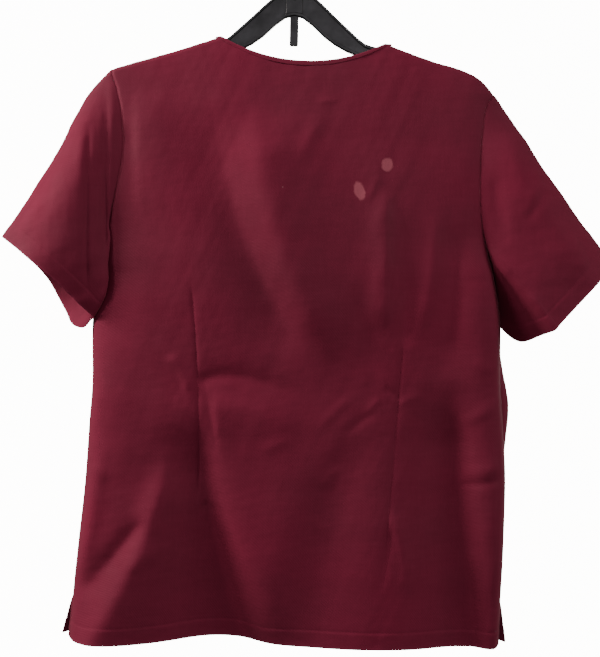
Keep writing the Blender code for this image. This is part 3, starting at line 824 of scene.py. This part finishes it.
backCreases = (
    # shoulder blades and neck
    Crease(-166, -180, -164, -260, -160, -370, 20, 18, 0.6, 3.6, 2.4, 2.0, 0.30, 0.5),
    Crease(24, -191, 38, -193, 52, -190, 3, 3, 0.0, 0.8, 0.8, 2.0, 0.4, 0.4),
    Crease(40, -208, 20, -236, 14, -268, 6, 7, -0.2, 1.2, 1.0, 2.0, 0.4, 0.4),
    Crease(96, -272, 88, -290, 80, -306, 4, 4, 0.0, 0.9, 0.9, 2.0, 0.4, 0.4),
    # folds that point down at the right dart
    Crease(101, -285, 102, -360, 101, -446, 11, 12, -0.2, 4.2, 4.6, 2.0, 0.25, 0.18),
    Crease(158, -303, 152, -385, 138, -452, 8, 9, -0.1, 3.0, 3.0, 2.0, 0.30, 0.35),
    Crease(125, -345, 127, -410, 124, -462, 8, 7, 0.0, -2.0, -2.4, 2.0, 0.40, 0.20),
    Crease(72, -385, 84, -440, 98, -500, 10, 9, 0.0, -1.6, -2.2, 2.0, 0.40, 0.30),
    # the pinch beside the left dart and the shelf of cloth at the waist
    Crease(-134, -476, -116, -487, -101, -528, 5, 6, 0.2, 2.4, 2.0, 2.0, 0.30, 0.30),
    Crease(-98, -502, -50, -493, 24, -520, 7, 10, 0.0, -3.0, -2.0, 1.6, 0.10, 0.40),
    Crease(-84, -532, -40, -534, 30, -556, 26, 26, -0.35, 4.5, 2.5, 2.0, 0.15, 0.40),
    # short diagonal wrinkles at the waist
    Crease(70, -512, 52, -528, 34, -550, 4, 5, 0.0, 1.3, 1.1, 2.0, 0.35, 0.35),
    Crease(96, -528, 76, -541, 58, -556, 4, 5, 0.0, -1.3, -1.0, 2.0, 0.35, 0.35),
    Crease(10, -556, -12, -566, -34, -573, 5, 6, 0.0, 0.9, 0.9, 2.0, 0.40, 0.40),
    Crease(62, -585, 46, -600, 36, -616, 4, 5, 0.0, 1.0, 1.0, 2.0, 0.40, 0.40),
    Crease(20, -640, 40, -655, 36, -676, 5, 5, 0.0, 0.9, 0.8, 2.0, 0.40, 0.40),
    Crease(104, -500, 112, -508, 128, -518, 3, 3, 0.0, -1.1, -1.1, 1.4, 0.30, 0.40),
    Crease(118, -520, 130, -515, 148, -508, 3, 4, 0.0, 0.9, 0.7, 2.0, 0.30, 0.40),
    Crease(100, -512, 92, -522, 80, -530, 3, 4, 0.0, 0.9, 0.9, 2.0, 0.30, 0.40),
    # left of the skirt, above the crest
    Crease(-150, -645, -178, -682, -224, -738, 7, 14, 0.0, -5.0, -6.5, 1.6, 0.25, 0.15),
    Crease(-196, -560, -209, -640, -220, -716, 9, 9, 0.0, 4.0, 3.6, 2.0, 0.35, 0.35),
    Crease(-214, -590, -200, -600, -184, -604, 5, 6, 0.0, 1.2, 0.8, 2.0, 0.30, 0.50),
    Crease(-88, -628, -78, -636, -54, -640, 4, 5, 0.0, -1.4, -0.8, 1.6, 0.20, 0.50),
    Crease(-176, -700, -150, -690, -134, -668, 8, 8, 0.0, 1.8, 1.2, 2.0, 0.30, 0.40),
    # the tongue below the right dart
    Crease(108, -632, 126, -676, 130, -735, 7, 8, 0.2, 2.6, 2.2, 2.0, 0.25, 0.35),
    Crease(116, -640, 108, -690, 104, -724, 4, 5, 0.0, -1.8, -1.4, 1.5, 0.30, 0.40),
    # right side of the waist and skirt
    Crease(186, -606, 210, -604, 240, -597, 4, 4, 0.0, -2.0, -1.6, 1.5, 0.25, 0.10),
    Crease(188, -594, 212, -590, 238, -583, 7, 7, 0.0, 1.4, 1.2, 2.0, 0.30, 0.10),
    Crease(184, -540, 206, -530, 234, -512, 6, 7, 0.0, 1.2, 1.4, 2.0, 0.35, 0.10),
    Crease(196, -470, 212, -480, 230, -478, 5, 6, 0.0, 1.0, 1.0, 2.0, 0.35, 0.15),
)
frontCreases = (
    Crease(-30, -300, -14, -330, 2, -352, 9, 12, 0.0, 2.0, 2.6, 2.0, 0.30, 0.45),
    Crease(44, -292, 26, -326, 12, -350, 9, 12, 0.0, 2.0, 2.2, 2.0, 0.30, 0.45),
    Crease(-176, -330, -140, -372, -104, -400, 12, 10, 0.0, 3.2, 2.0, 2.0, 0.30, 0.40),
    Crease(190, -328, 158, -362, 118, -396, 12, 10, 0.0, 2.8, 2.0, 2.0, 0.30, 0.40),
    Crease(-196, -500, -150, -512, -96, -506, 8, 10, 0.0, 2.2, 1.4, 2.0, 0.20, 0.40),
    Crease(214, -520, 170, -530, 110, -521, 8, 10, 0.0, 2.4, 1.4, 2.0, 0.20, 0.40),
    Crease(-10, -470, 2, -560, -6, -650, 18, 22, 0.2, 3.4, 3.0, 2.0, 0.30, 0.40),
    Crease(96, -640, 104, -700, 120, -790, 14, 18, 0.0, 4.2, 5.0, 2.0, 0.35, 0.0),
    Crease(-188, -600, -192, -690, -198, -790, 12, 14, 0.0, 4.0, 5.0, 2.0, 0.35, 0.0),
    Crease(10, -640, 16, -710, 22, -790, 12, 16, 0.0, -3.6, -4.4, 2.0, 0.35, 0.0),
)


def panelGrid():
    corner = neckFraction(neck["panelMargin"])
    f = closerNear(
        cloth["columns"], -1, 1, cloth["dartPlaces"], cloth["dartCloseness"], cloth["dartReach"]
    )
    for side in (-1, 1):
        f[np.argmin(np.abs(f - side * corner))] = side * corner
    skirt = closerNear(
        cloth["skirtRows"], 0, 1, cloth["hemPlaces"], cloth["hemCloseness"], cloth["hemReach"]
    )
    chest = (np.arange(cloth["chestRows"] + 1) / cloth["chestRows"]) ** cloth["chestSpacing"]
    return f, skirt, chest[::-1]


def makePanel(name, face, form, creases, material, seed):
    f, skirt, chest = panelGrid()
    hem = body["hemLevel"] - body["hemDipRight"] * (f + 1) / 2
    if face < 0:
        hem = hem + body["hemLift"] * np.exp(-(((f - body["liftPlace"]) / body["liftReach"]) ** 2))
    under = between(*body["underarms"], f)
    top = topHeight(face, f, neck["panelMargin"])
    heights = [hem + (under - hem) * share for share in skirt[:-1]]
    heights += [top + (under - top) * share for share in chest]
    z = np.array(heights)
    points = bodyPoint(face, np.broadcast_to(f, z.shape), z, form + creases)
    points = points + detailOffset(points, face, f, z, seed)
    fromHem = distanceAlong(points, 0)
    return makeSheet(name, points, False, material, {"fromEdge": fromHem})


def detailOffset(points, face, f, z, seed):
    # darts, hem, vents, seams and washed-in ripples, raised along the cloth's own normal
    normals = gridNormals(points, False)
    normals = normals * np.sign(face * normals[..., 1:2].mean())
    x = points[..., 0]
    below = shoulderHeight(f) - z
    fromSide = np.minimum(distanceAlong(points, 1), distanceAlong(points, 1, fromEnd=True))
    inVent = smoothStep((body["ventTop"] + cloth["ventBlend"] / 2 - z) / cloth["ventBlend"])
    lift = turnedEdge(distanceAlong(points, 0), cloth["hemWidth"])
    lift = lift + turnedEdge(fromSide, cloth["ventHemWidth"]) * inVent
    lift = lift + seamDent(fromSide) * (1 - inVent)
    onShoulder = np.abs(f) > neckFraction(neck["panelMargin"])
    lift = lift + seamDent(below) * onShoulder
    broad = ripples(x, z, seed, cloth["broadRipple"])
    lift = lift + broad * smoothStep(fromSide / cloth["broadCalm"])
    fine = ripples(x, z, seed + 1, cloth["fineRipple"])
    lift = lift + fine * smoothStep(fromSide / cloth["fineCalm"])
    if face < 0:
        lift = lift + creaseHeight(tuple(darts.values()), x, z)
    return normals * lift[..., None]


backPanel = makePanel("backPanelCloth", -1, backForm, backCreases, backTwill, seed=11)
frontPanel = makePanel("frontPanelCloth", 1, frontForm, frontCreases, plainTwill, seed=23)
print("back and front panels made")

# Sleeves

Section = namedtuple(
    "Section",
    "along topX topZ ridgeX ridgeY ridgeZ lowX lowY lowZ underX underY underZ back front bow"
    " frontBow",
)
leftSleeve = (
    Section(0.15, -222, -183, -196, -21, -345, -208, -12, -374, -216, 0, -394, 24, 22, 0, 0),
    Section(0.40, -249, -236, -197, -24, -374, -211, -15, -396, -219, 2, -405, 28, 24, 0, 0),
    Section(0.70, -284, -294, -198, -24, -404, -212, -15, -419, -223, 2, -424, 30, 26, 2, 2),
    Section(1.00, -317, -346, -213, -14, -432, -224, -7, -443, -236, 2, -442, 26, 26, 5, 6),
)
rightSleeve = (
    Section(0.15, 240, -207, 222, -24, -364, 225, -12, -383, 228, 3, -396, 26, 24, 0, 0),
    Section(0.40, 268, -248, 239, -31, -383, 235, -9, -402, 230, 8, -408, 30, 28, 0, 0),
    Section(0.70, 307, -302, 262, -36, -409, 246, -4, -427, 232, 14, -421, 33, 30, 0, 0),
    Section(1.00, 354, -364, 285, -36, -438, 257, 2, -451, 234, 18, -433, 31, 30, 0, 0),
)

leftSleeveCreases = (
    Crease(-224, -190, -240, -275, -276, -392, 26, 40, 0.25, 4.0, 9.0, 2.0, 0.25, 0.0),
    Crease(-212, -190, -213, -300, -213, -415, 10, 9, 0.0, -2.5, -1.5, 2.0, 0.20, 0.15),
    Crease(-219, -215, -220, -303, -218, -418, 3, 4, 0.0, -2.4, -3.0, 1.5, 0.20, 0.15),
    Crease(-203, -180, -201, -281, -199, -372, 3, 3, 0.0, -2.6, -3.0, 1.5, 0.25, 0.20),
    Crease(-198, -172, -195, -205, -193, -262, 5, 5, 0.0, 3.0, 2.0, 2.0, 0.25, 0.40),
    Crease(-240, -316, -262, -346, -288, -372, 13, 15, 0.0, -1.2, -1.6, 2.0, 0.30, 0.30),
    Crease(-262, -296, -276, -322, -296, -350, 9, 9, 0.0, 1.6, 1.8, 2.0, 0.40, 0.30),
    Crease(-216, -402, -226, -414, -240, -408, 5, 6, 0.0, 1.6, 1.6, 2.0, 0.30, 0.30),
)
rightSleeveCreases = (
    Crease(278, -283, 266, -303, 252, -326, 5, 6, 0.0, -1.6, -1.2, 2.0, 0.35, 0.35),
    Crease(240, -214, 258, -262, 282, -330, 18, 26, 0.20, 2.0, 3.0, 2.0, 0.35, 0.30),
    Crease(218, -262, 224, -302, 236, -352, 8, 10, 0.0, -2.0, -2.2, 2.0, 0.35, 0.35),
    Crease(300, -330, 310, -352, 316, -378, 9, 9, 0.0, 1.5, 1.5, 2.0, 0.35, 0.25),
    Crease(217, -353, 252, -389, 288, -441, 4, 5, 0.3, 1.6, 2.2, 1.0, 0.12, 0.0),
    Crease(232, -376, 246, -389, 262, -409, 4, 4, 0.5, -1.6, -1.8, 1.5, 0.25, 0.25),
)

sleeves = {
    "rings": 74,
    "closePlaces": (0.0, 0.87, 1.0),
    "closeness": 1.6,
    "closeReach": 0.04,
    "halfRing": 96,
    "ringSpacing": 1.35,
    "joinShare": 0.10,
    "backEnds": 0.43,
    "backBlend": 0.06,
    "frontStarts": 0.52,
    "frontBlend": 0.05,
    "foldBlend": 0.03,
    "frontCreases": 0.5,
    "broadRipple": Ripple(0.5, 70, 22),
    "broadCalm": 20,
    "fineRipple": Ripple(0.15, 22, 8),
}

# Where the points of a section lie round its ring, which runs from the top fold down the back
# to the ridge, round the low point and the underarm, and up the front. A point on the back or
# the front layer has a share of the way along it, of the layer's depth and of its bow.
RingPoint = namedtuple("RingPoint", "ring share depth bow")
backLayer = (RingPoint(0.10, 0.25, 0.8, 0.8), RingPoint(0.25, 0.62, 1.0, 1.0))
frontLayer = (
    RingPoint(0.60, 0.2, 0.8, 0.0),
    RingPoint(0.75, 0.5, 1.0, 1.0),
    RingPoint(0.90, 0.8, 0.75, 0.6),
)
ring = {
    "beforeRidge": 0.38,
    "beforePart": 0.13,
    "ridge": 0.40,
    "afterRidge": 0.415,
    "afterPart": 0.3,
    "low": 0.45,
    "under": 0.50,
}


def sectionControls(section):
    top = np.array([section.topX, 0.0, section.topZ])
    ridge = np.array([section.ridgeX, section.ridgeY, section.ridgeZ], float)
    low = np.array([section.lowX, section.lowY, section.lowZ], float)
    under = np.array([section.underX, section.underY, section.underZ], float)
    chord = ridge - top
    side = np.array([-chord[2], 0.0, chord[0]]) / math.hypot(chord[0], chord[2])
    side = side * math.copysign(1.0, -section.topX * side[0])
    flat = np.array([1, 0, 1])

    def layerPoints(layer, start, end, depth, bow):
        found = []
        for point in layer:
            place = start + (end - start) * point.share + side * (bow * point.bow)
            place[1] += depth * point.depth
            found.append((point.ring, place))
        return found

    downBack = layerPoints(backLayer, top, ridge * flat, -section.back, section.bow)
    upFront = layerPoints(frontLayer, under * flat, top, section.front, section.frontBow)
    middle = downBack[-1][1]
    return (
        (0.0, top),
        *downBack,
        (ring["beforeRidge"], ridge + (middle - ridge) * ring["beforePart"]),
        (ring["ridge"], ridge),
        (ring["afterRidge"], ridge + (low - ridge) * ring["afterPart"]),
        (ring["low"], low),
        (ring["under"], under),
        *upFront,
    )


def smoothThrough(places, values, at):
    # a smooth run through values known at a few places, as arrays
    slopes = np.gradient(values, places, axis=0)
    k = np.clip(np.searchsorted(places, at, side="right") - 1, 0, len(places) - 2)
    shape = (-1,) + (1,) * (values.ndim - 1)
    span = (places[k + 1] - places[k]).reshape(shape)
    t = ((at - places[k]) / (places[k + 1] - places[k])).reshape(shape)
    return easedRun(t, span, values[k], values[k + 1], slopes[k], slopes[k + 1])


def closedCurve(controls, at):
    shares = np.array([share for share, _ in controls])
    points = np.array([point for _, point in controls])
    shares = np.concatenate([shares[-2:] - 1, shares, shares[:2] + 1])
    points = np.concatenate([points[-2:], points, points[:2]])
    return smoothThrough(shares, points, at)


def makeSleeve(name, side, sections, creases, seed):
    shares = (np.arange(sleeves["halfRing"] + 1) / sleeves["halfRing"]) ** sleeves["ringSpacing"]
    column = 0 if side < 0 else 1
    tip = body["tips"][column]
    under = body["underarms"][column]
    heights = tip + (under - tip) * shares
    back = bodyPoint(-1, float(side), heights, ())
    front = bodyPoint(1, float(side), heights, ())
    armhole = np.concatenate([back, front[-2:0:-1]])
    armhole[0, 1] = 0.0
    armhole[len(back) - 1, 1] = 0.0
    loopShares = np.concatenate([shares / 2, 1 - shares[-2:0:-1] / 2])
    rings = np.array([armhole] + [closedCurve(sectionControls(row), loopShares) for row in sections])
    places = np.array([0.0] + [row.along for row in sections])
    at = closerNear(
        sleeves["rings"], 0, 1, sleeves["closePlaces"], sleeves["closeness"], sleeves["closeReach"]
    )
    points = smoothThrough(places, rings, at)
    normals = gridNormals(points, True)
    # the back of the sleeve faces away from the front, so its normals point to -y
    outward = normals[:, len(shares) // 3, 1].mean()
    normals = normals * (-1 if outward > 0 else 1)
    x, z = points[..., 0], points[..., 2]
    joined = smoothStep(at / sleeves["joinShare"])[:, None]
    # creases fade out at the top fold, and again where the back layer meets the front
    onBack = smoothStep((sleeves["backEnds"] - loopShares) / sleeves["backBlend"])
    onBack = onBack * smoothStep(loopShares / sleeves["foldBlend"])
    onFront = smoothStep((loopShares - sleeves["frontStarts"]) / sleeves["frontBlend"])
    onFront = onFront * smoothStep((1 - loopShares) / sleeves["foldBlend"])
    fromSeam = distanceAlong(points, 0)
    fromCuff = distanceAlong(points, 0, fromEnd=True)
    onLayers = onBack + sleeves["frontCreases"] * onFront
    lift = creaseHeight(creases, x, z) * onLayers * joined
    lift = lift + turnedEdge(fromCuff, cloth["hemWidth"])
    lift = lift + seamDent(fromSeam)
    broad = ripples(x + points[..., 1], z, seed, sleeves["broadRipple"])
    lift = lift + broad * smoothStep(fromSeam / sleeves["broadCalm"])
    lift = lift + ripples(x, z + points[..., 1], seed + 1, sleeves["fineRipple"]) * joined
    points = points + normals * lift[..., None]
    return makeSheet(name, points, True, plainTwill, {"fromEdge": fromCuff})


sleeveLeft = makeSleeve("leftSleeveCloth", -1, leftSleeve, leftSleeveCreases, seed=37)
sleeveRight = makeSleeve("rightSleeveCloth", 1, rightSleeve, rightSleeveCreases, seed=41)
print("sleeves made")

# Neck binding

binding = {"columns": 110, "turns": 6, "faceRows": 5, "halfGap": 0.5, "thickness": 0.6}


def neckLoop(margin):
    angles = np.linspace(-math.pi / 2, math.pi / 2, binding["columns"] + 1)
    across = neckFraction(margin) * np.sin(angles)
    back = bodyPoint(-1, across, topHeight(-1, across, margin), backForm + backCreases)
    front = bodyPoint(1, across[::-1], topHeight(1, across[::-1], margin), frontForm + frontCreases)
    for end in (back[0], back[-1], front[0], front[-1]):
        end[1] = 0.0
    return np.concatenate([back, front[1:-1]])


def makeBinding():
    # a strip folded over the cut edge: down the outside, round the fold, down the inside
    wide = neck["bandWidth"]
    margins = np.linspace(wide, binding["halfGap"], binding["faceRows"] + 1)
    flat = np.array([neckLoop(margin) for margin in margins])
    normals = gridNormals(flat, True)
    outward = normals[:, binding["columns"] // 2, 1].mean()
    normals = normals * (-1 if outward > 0 else 1)
    upward = flat[-1] - flat[-2]
    upward = upward / np.linalg.norm(upward, axis=1, keepdims=True)
    rows = [row + way * binding["halfGap"] for row, way in zip(flat, normals)]
    for turn in range(1, binding["turns"]):
        angle = math.pi * turn / binding["turns"]
        out = normals[-1] * math.cos(angle) + upward * math.sin(angle)
        rows.append(flat[-1] + out * binding["halfGap"])
    rows += [row - way * binding["halfGap"] for row, way in zip(flat[::-1], normals[::-1])]
    points = np.array(rows)
    fromFold = np.abs(distanceAlong(points, 0) - distanceAlong(points, 0, fromEnd=True)) / 2
    return makeSheet(
        "neckBindingCloth", points, True, plainTwill, {"fromEdge": fromFold}, binding["thickness"]
    )


neckBinding = makeBinding()
print("neck binding made")

# Hanger

hangerLook = {"black": "0b0c0d", "shine": 0.35}


def makeHangerPlastic():
    # Polypropylene, injection moulded and dyed black: a soft gloss with faint flow marks
    material, tree = newMaterial("black polypropylene, injection moulded")
    place = addNode(tree, "TexCoord").outputs["Object"]
    grain = addNode(
        tree, "TexNoise", {"Scale": 900.0, "Detail": 3.0}, {"Vector": place}
    )
    scuff = addNode(
        tree, "TexNoise", {"Scale": 40.0, "Detail": 6.0, "Roughness": 0.7}, {"Vector": place}
    )
    roughness = addNode(
        tree,
        "MapRange",
        {"From Min": 0.35, "From Max": 0.65, "To Min": 0.28, "To Max": 0.46},
        {"Value": scuff.outputs["Fac"]},
    )
    bump = addNode(
        tree, "Bump", {"Strength": 0.1, "Distance": 0.0001}, {"Height": grain.outputs["Fac"]}
    )
    shader = addNode(
        tree,
        "BsdfPrincipled",
        {
            "Base Color": linearColour(hangerLook["black"]),
            "IOR": 1.49,
            "Specular IOR Level": hangerLook["shine"],
        },
        {"Roughness": roughness.outputs[0], "Normal": bump.outputs[0]},
    )
    addNode(tree, "OutputMaterial", links={"Surface": shader.outputs[0]})
    return material


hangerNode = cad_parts["hanger"]
hangerNode.data.materials.clear()
hangerNode.data.materials.append(makeHangerPlastic())
print("hanger finished")

# What each piece is, and the size it was cut to

Cut = namedtuple("Cut", "piece node slot wide long area")
cuts = (
    Cut(backPanel, "back_panel", "scrub_cloth", 0.520, 0.680, 0.296),
    Cut(frontPanel, "front_panel", "scrub_cloth", 0.530, 0.680, 0.284),
    Cut(sleeveLeft, "sleeve_left", "scrub_cloth", 0.440, 0.190, 0.047),
    Cut(sleeveRight, "sleeve_right", "scrub_cloth", 0.440, 0.200, 0.050),
    Cut(neckBinding, "neck_band", "neck_cloth", 0.560, 0.0125, 0.0070),
)

for cut in cuts:
    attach(cut.piece, "root")
    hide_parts(cut.node)
